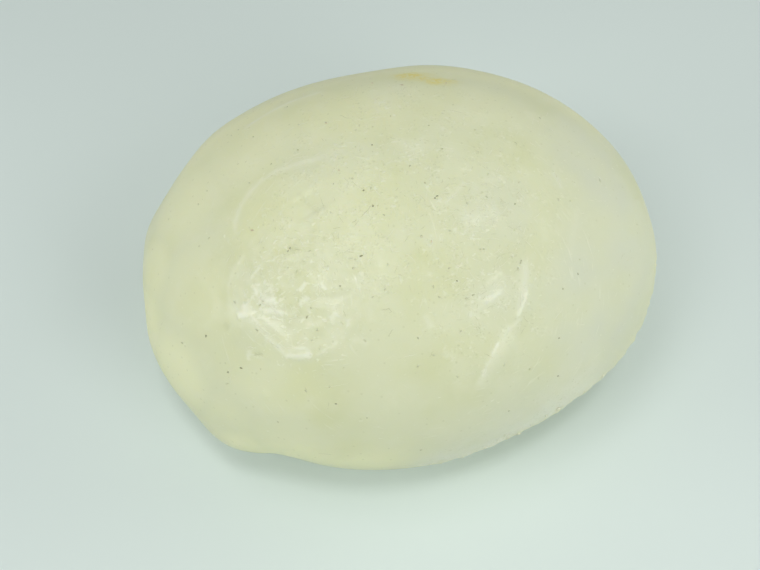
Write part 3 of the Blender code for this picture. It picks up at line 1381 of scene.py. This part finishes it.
@dataclass(frozen=True)
class Studio:
    """The pale table, soft lamps all round and the light of a pale room."""

    table: TableTop = TableTop()
    lamps: tuple[Lamp, ...] = (
        Lamp("top lamp", 262, 78, 0.35, size=0.06),
        Lamp("left lamp", 205, 58, 0.32, size=0.14),
        Lamp("right lamp", 300, 44, 0.26),
        Lamp("high left lamp", 180, 78, 0.18, size=0.12),
        Lamp("low left lamp", 180, 22, 0.37),
        Lamp("low right lamp", 0, 25, 0.88, size=0.40, distance=0.60),
        Lamp("low front lamp", 300, 22, 0.25),
        Lamp("low back lamp", 80, 22, 0.05),
    )
    room: str = "#F1F7F7"
    room_strength: float = 0.224

    def set_up(self) -> None:
        """Lays the table, hangs the lamps and lights the room."""
        self.table.lay()
        for lamp in self.lamps:
            lamp.hang()
        scene = bpy.context.scene
        scene.world = bpy.data.worlds.new("pale room")
        scene.world.use_nodes = True
        background = scene.world.node_tree.nodes["Background"]
        feed(background, {"Color": linear(self.room), "Strength": self.room_strength})
        scene.view_settings.view_transform = "Standard"


@dataclass
class Ball:
    """The ball's skin: the part's form on a fine grid, with its fine relief, masks and finish."""

    portrait: Portrait
    form: BallForm = BallForm()
    relief: FineRelief = FineRelief()
    finish: CurdSkin = CurdSkin()
    grid: BlownCube = BlownCube(squares=126, lean=0.5)
    guide_grid: BlownCube = BlownCube(squares=60)
    speck_room: float = 0.03 * MM
    # Painted sheen and shade: the right side and the streak and sparkle are painted greyer and darker
    painted_sheen_and_shade: tuple[Field, ...] = (
        Field((610, 300), 20, 0.7), Field((600, 180), 14, 0.7), Field((545, 395), 11, 1.2, 0.5),
        Field((505, 290), 7, strength=0.45), Field((502, 215), 7, strength=0.4),
    )
    painted_sheen_and_shade_mottle: Mottle = Mottle(0.65, 0.4, 6.0, 29.0)
    stain: tuple[Field, ...] = (Field((414, 76), 2.2, 1.7, 1.6), Field((438, 81), 1.8, 2.0, 1.5))
    stain_mottle: Mottle = Mottle(0.45, 0.4, 2.0, 23.0)
    dry: tuple[Field, ...] = (Field((400, 190), 20, 1.5), Field((400, 110), 10, 2.0, 0.8))
    deep: tuple[Field, ...] = (
        Field((212, 312), 8, strength=0.45), Field((225, 338), 7, strength=0.4),
        Field((343, 285), 7, strength=0.5), Field((515, 338), 6, strength=0.4),
        Field((580, 220), 9, strength=0.7), Field((423, 255), 1.2, 1.5, 0.9),
    )
    # Painted light: paler fields on the upper left, the left side and the front, standing in for light that the
    # lamps do not bring there
    back: tuple[Field, ...] = (
        Field((245, 140), 11, strength=0.5), Field((185, 195), 9, strength=0.5),
        Field((325, 112), 9, 2.0, 0.4), Field((152, 270), 6, strength=0.5),
        Field((147, 322), 7, strength=0.7), Field((175, 375), 8, strength=0.8),
        Field((225, 425), 7, strength=0.4), Field((310, 450), 6, 2.0, 0.2),
        Field((272, 212), 8, strength=0.26), Field((188, 290), 7, strength=0.2),
        Field((275, 388), 6, 1.5, 0.25), Field((352, 200), 8, strength=0.2), Field((440, 100), 7, 2.2, 0.3),
    )
    # Painted light: the rim at the back is painted yellower to undo the room's bluish light on it
    rim: Mark = Mark(
        "yellower rim at the back",
        ((152, 225), (175, 183), (210, 143), (250, 115), (300, 90), (360, 75), (430, 69), (500, 79),
         (560, 103), (600, 138), (625, 165)),
        4.5, broken=0.15, trail=4.0,
    )
    # Painted light: the strip along the seam is painted paler where the ball turns under into shade
    painted_seam_light_strip: Mark = Mark(
        "dried lip of the seam",
        ((380, 466), (425, 465), (452, 460), (480, 450), (508, 436), (530, 425), (552, 412), (575, 397),
         (605, 373), (622, 355)),
        1.8, broken=0.2, trail=5.5, end_share=0.26,
    )
    painted_seam_light_share: float = 0.68
    # Painted light: light thrown back from the board onto the lower front edge, painted paler
    painted_bounce_light: Mark = Mark(
        "lighter foot of the front",
        ((198, 412), (232, 441), (262, 451), (300, 457), (340, 464), (380, 464), (444, 458)),
        4.0, broken=0.15, trail=1.75, end_share=0.26,
    )
    # Inside this line lies the left lamp's broad highlight, painted milky as a painted shine
    pressed_inside: Patch = Patch(
        ((250, 240), (246, 252), (238, 262), (232, 273), (228, 286), (229, 298), (234, 309), (243, 319),
         (256, 326), (268, 325), (276, 332), (282, 344), (287, 356), (300, 359), (318, 357), (332, 351),
         (344, 342), (349, 330), (360, 318), (395, 300), (410, 240), (340, 200), (280, 210)),
        0.9,
    )
    painted_shine_share: float = 0.18
    painted_shine_mottles: tuple[Mottle, ...] = (Mottle(1.0, 0.7, 2.6, 31.0), Mottle(0.0, 1.6, 1.2, 37.0))
    rings: tuple[Ring, ...] = (
        Ring((330, 250), 15.5, 20.0, 0.45),
        Ring((470, 262), 18.0, 24.0, 0.30),
        Ring((420, 300), 21.0, 34.0, 0.30),
        Ring((300, 300), 4.0, 12.0, 0.35),
    )

    def build(self) -> tuple[bpy.types.Object, Skin]:
        """Builds and dresses the skin.

        Returns:
            The ball and the surface that smaller pieces are laid on.
        """
        ways, quads, maps = self.grid.build()
        points, normals = self.form.skin(ways)
        centre = self.plan_centre(points)
        guide = self.guide(centre)
        points -= centre
        points += normals * self.relief.height(guide, points)[:, None]
        points = self.settled(points)
        rings = [(guide.under(ring.pixel)[0], ring) for ring in self.rings]
        shape = (points.tolist(), quads.tolist())
        ball = add_object("mozzarella_skin", shape, self.finish.material(rings))
        # The finish's map, where the cube's six sides lie beside each other
        layer = ball.data.uv_layers.new(name="OFBake")
        layer.uv.foreach_set("vector", maps.astype(np.float32).ravel())
        for name, share in self.masks(guide, points).items():
            layer = ball.data.attributes.new(name, "FLOAT", "POINT")
            layer.data.foreach_set("value", np.clip(share, 0, 1).astype(np.float32))
        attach(ball, BODY)
        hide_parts(NODE)
        return ball, Skin(self.portrait, points, quads)

    def plan_centre(self, points: np.ndarray) -> np.ndarray:
        """The middle of the ball's plan, at the height of the table."""
        low, high = points.min(axis=0), points.max(axis=0)
        return np.array([(low[0] + high[0]) / 2, (low[1] + high[1]) / 2, 0.0])

    def guide(self, centre: np.ndarray) -> Skin:
        """The plain skin, which marks are laid on before the fine relief is there."""
        ways, quads, _ = self.guide_grid.build()
        return Skin(self.portrait, self.form.skin(ways)[0] - centre, quads)

    def settled(self, points: np.ndarray) -> np.ndarray:
        """Sets the ball down flat on the table, inside the box of the part's solid.

        Args:
            points: The skin's points.

        Returns:
            The points, with those under the table set on it and the rest drawn in by a few hundredths of a
            millimetre where they would stand out of the box.
        """
        low, high = (np.array(corner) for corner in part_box(NODE))
        points = points.copy()
        points[:, 2] = np.maximum(points[:, 2], 0.0)
        low, high = low + self.speck_room, high - self.speck_room
        reach = np.stack([points.min(axis=0) / np.minimum(low, -MM), points.max(axis=0) / high])
        return points / np.maximum(reach.max(axis=0), 1.0)

    def masks(self, guide: Skin, points: np.ndarray) -> dict[str, np.ndarray]:
        """Where the skin is pressed, dry or stained, and where light, shade and highlights are painted on it.

        Args:
            guide: The surface that pixels are laid on.
            points: The mesh's points.

        Returns:
            One share for each point, by the mask's name.
        """
        relief = self.relief
        areas = {
            "pressed": relief.hammered,
            "painted_glint_strokes": relief.painted_glint_strokes,
            "dry": relief.puckered + self.dry,
            "stain": self.stain,
            "painted_sheen_and_shade": self.painted_sheen_and_shade,
            "deep": self.deep,
            # This mask holds painted light: paler where the lamps leave the skin too dark, not only on the back
            "back": (*self.back, self.painted_bounce_light),
            "rim": (self.rim,),
            "lip": (self.painted_seam_light_strip,),
        }
        mask = {name: relief.strongest(area, guide, points) for name, area in areas.items()}
        mask["stain"] *= self.stain_mottle.over(points)
        mask["painted_sheen_and_shade"] *= self.painted_sheen_and_shade_mottle.over(points)
        mask["dry"] = np.maximum(mask["dry"], mask["lip"])
        mask["lip"] *= self.painted_seam_light_share
        inside = mask["pressed"] * self.pressed_inside.over(guide, points)
        mask["deep"] *= 1 - inside
        # Painted shine: the inside of the pressed area and the milky marks are painted a milky tone where the
        # lamps' highlights lie
        painted_shine = self.painted_shine_share * inside * sum(mottle.over(points) for mottle in self.painted_shine_mottles)
        mask["painted_shine"] = np.maximum(painted_shine, relief.toned("milky", guide, points))
        # Painted highlights: where the pale marks paint the skin glint white
        mask["rubbed"] = relief.toned("pale", guide, points)
        mask["dull"] = relief.toned("dull", guide, points)
        return mask


SPECKS = (
    Specks(
        "pinholes", SpeckMatter(SpeckTone.PINHOLE),
        (
            (206, 336, 0.42), (241, 368, 0.4), (361, 256, 0.4), (373, 206, 0.3), (435, 198, 0.28),
            (437, 196, 0.3), (515, 204, 0.25), (558, 376, 0.32), (372, 145, 0.28), (457, 281, 0.26),
            (578, 274, 0.28), (340, 286, 0.26),
        ),
        scattered=4, least_mm=0.22, greatest_mm=0.36, seed=3,
    ),
    Specks(
        "dull_specks", SpeckMatter(SpeckTone.DULL),
        (
            (228, 372, 0.42), (307, 317, 0.4), (384, 215, 0.28), (540, 118, 0.36), (421, 450, 0.36),
            (418, 338, 0.3), (473, 295, 0.3), (563, 289, 0.3), (559, 338, 0.32), (509, 411, 0.3),
            (410, 166, 0.3), (425, 183, 0.24), (442, 149, 0.32), (298, 150, 0.3), (271, 164, 0.28),
            (367, 418, 0.28), (290, 248, 0.36), (288, 251, 0.3), (278, 422, 0.28), (311, 308, 0.28),
        ),
        scattered=9, least_mm=0.18, greatest_mm=0.28, seed=5,
    ),
    Specks(
        "faint_specks", SpeckMatter(SpeckTone.FAINT),
        (
            (260, 305, 0.35), (310, 251, 0.3), (257, 330, 0.4), (385, 289, 0.3), (373, 297, 0.3),
            (182, 343, 0.4), (306, 391, 0.35), (330, 387, 0.35), (450, 231, 0.35), (487, 197, 0.35),
            (449, 268, 0.35), (521, 262, 0.45), (512, 257, 0.3), (518, 269, 0.35), (461, 331, 0.35),
            (530, 369, 0.4), (418, 366, 0.35), (434, 355, 0.3), (253, 137, 0.4), (238, 164, 0.35),
            (209, 238, 0.35), (207, 191, 0.3), (287, 107, 0.4), (475, 130, 0.35), (478, 152, 0.35),
            (637, 224, 0.35), (561, 399, 0.4), (600, 181, 0.4),
        ),
        scattered=130, least_mm=0.16, greatest_mm=0.36, seed=6,
    ),
    Specks(
        "crown_flecks", SpeckMatter(SpeckTone.MUTED), (),
        scattered=240, least_mm=0.08, greatest_mm=0.17, seed=31, top_heaviness=1.3,
    ),
    Specks(
        "rusty_specks", SpeckMatter(SpeckTone.RUSTY),
        ((326, 123, 0.4), (252, 230, 0.45), (372, 83, 0.45), (402, 85, 0.5), (446, 83, 0.4)),
        scattered=5, least_mm=0.25, greatest_mm=0.4, seed=8,
    ),
    Specks(
        "seam_crumbs", SpeckMatter(SpeckTone.RUBBED),
        (
            (430, 464, 0.7), (441, 463, 0.5), (452, 461, 0.9), (463, 457, 0.5), (486, 447, 0.6),
            (497, 441, 0.5), (508, 437, 0.8), (519, 434, 0.8), (531, 425, 0.5), (546, 416, 0.6),
            (558, 409, 0.9), (571, 400, 0.5), (585, 391, 0.6), (603, 376, 0.8), (612, 369, 0.5),
            (617, 364, 0.7), (630, 348, 0.5), (656, 265, 0.6),
        ),
        scattered=0, least_mm=0.5, greatest_mm=0.9, seed=21, rim_lift_mm=0.03, crown_lift_mm=0.16,
        root_mm=0.3,
    ),
)

HAIRLINES = (
    Hairlines(
        "hairline_cracks", SpeckMatter(SpeckTone.DULL),
        (
            (0.14, ((352, 223), (362, 216), (372, 205))), (0.1, ((331, 229), (342, 227))),
            (0.12, ((292, 249), (302, 250))), (0.12, ((381, 310), (390, 309), (392, 311), (388, 314))),
            (0.12, ((393, 329), (388, 337))), (0.1, ((254, 355), (264, 354))),
            (0.1, ((430, 357), (434, 350))), (0.1, ((305, 387), (307, 395))),
        ),
        scattered=26, longest_mm=4.0, width_mm=0.1, seed=12,
    ),
    Hairlines(
        "crown_dashes", SpeckMatter(SpeckTone.DULL), (),
        scattered=90, longest_mm=1.5, width_mm=0.09, seed=33, top_heaviness=1.7,
        gathered=(
            ((490, 222), 4.0, 50), ((478, 303), 3.0, 45), ((365, 228), 4.5, 40), ((300, 262), 4.5, 45),
            ((435, 200), 5.0, 25),
        ),
    ),
    # The pale scratches are real, and painted pale partly as painted glints, gathered where the lamps'
    # highlights lie
    Hairlines(
        "crown_scratches", SpeckMatter(SpeckTone.RUBBED, roughness=0.4), (),
        scattered=110, longest_mm=2.4, width_mm=0.12, seed=35, top_heaviness=1.7,
        gathered=(
            ((490, 222), 4.0, 75), ((480, 292), 4.0, 60), ((365, 228), 4.5, 45), ((282, 285), 5.5, 60),
            ((462, 200), 4.5, 30),
        ),
    ),
    Hairlines(
        "pale_scratches", SpeckMatter(SpeckTone.RUBBED, roughness=0.4),
        (
            (0.13, ((236, 217), (240, 203), (251, 191), (263, 180), (279, 170), (294, 158), (311, 156))),
            (0.15, ((294, 163), (311, 159), (329, 153), (342, 156))), (0.16, ((288, 130), (310, 121))),
            (0.22, ((238, 129), (254, 122), (269, 114))), (0.24, ((344, 98), (350, 96))),
            (0.2, ((446, 203), (466, 182))), (0.2, ((519, 192), (526, 200))),
            (0.22, ((553, 171), (562, 189))), (0.18, ((573, 180), (576, 187))),
            (0.18, ((548, 207), (551, 214))), (0.24, ((598, 176), (602, 180))),
            (0.18, ((530, 142), (537, 148))), (0.2, ((254, 277), (262, 263))),
            (0.24, ((267, 339), (283, 352))), (0.26, ((522, 290), (520, 312))),
            (0.2, ((491, 357), (485, 372), (482, 378))), (0.2, ((497, 293), (487, 301))),
            (0.16, ((248, 268), (241, 277))), (0.16, ((231, 254), (226, 264))),
            (0.2, ((243, 290), (247, 298), (253, 305))), (0.2, ((256, 296), (268, 303), (277, 312))),
            (0.18, ((262, 290), (266, 297))), (0.2, ((272, 305), (279, 318))),
            (0.2, ((300, 296), (310, 303))), (0.16, ((318, 283), (322, 290))),
            (0.2, ((247, 347), (257, 348))), (0.16, ((247, 354), (258, 354))),
            (0.16, ((318, 355), (330, 350), (338, 342))), (0.16, ((330, 335), (340, 327))),
        ),
        scattered=85, longest_mm=5.0, width_mm=0.13, seed=14,
    ),
)


def main() -> None:
    """Builds the ball, its specks and its studio."""
    logging.basicConfig(level=logging.INFO, format="%(name)s: %(message)s")
    portrait = Portrait()
    portrait.take()
    ball, skin = Ball(portrait).build()
    log.info("%s: %d squares", ball.name, len(ball.data.polygons))
    for small in SPECKS + HAIRLINES:
        piece = small.build(skin)
        log.info("%s: %d faces", piece.name, len(piece.data.polygons))
    Studio().set_up()
    log.info("the studio is set up")


if __name__ == "__main__":
    main()
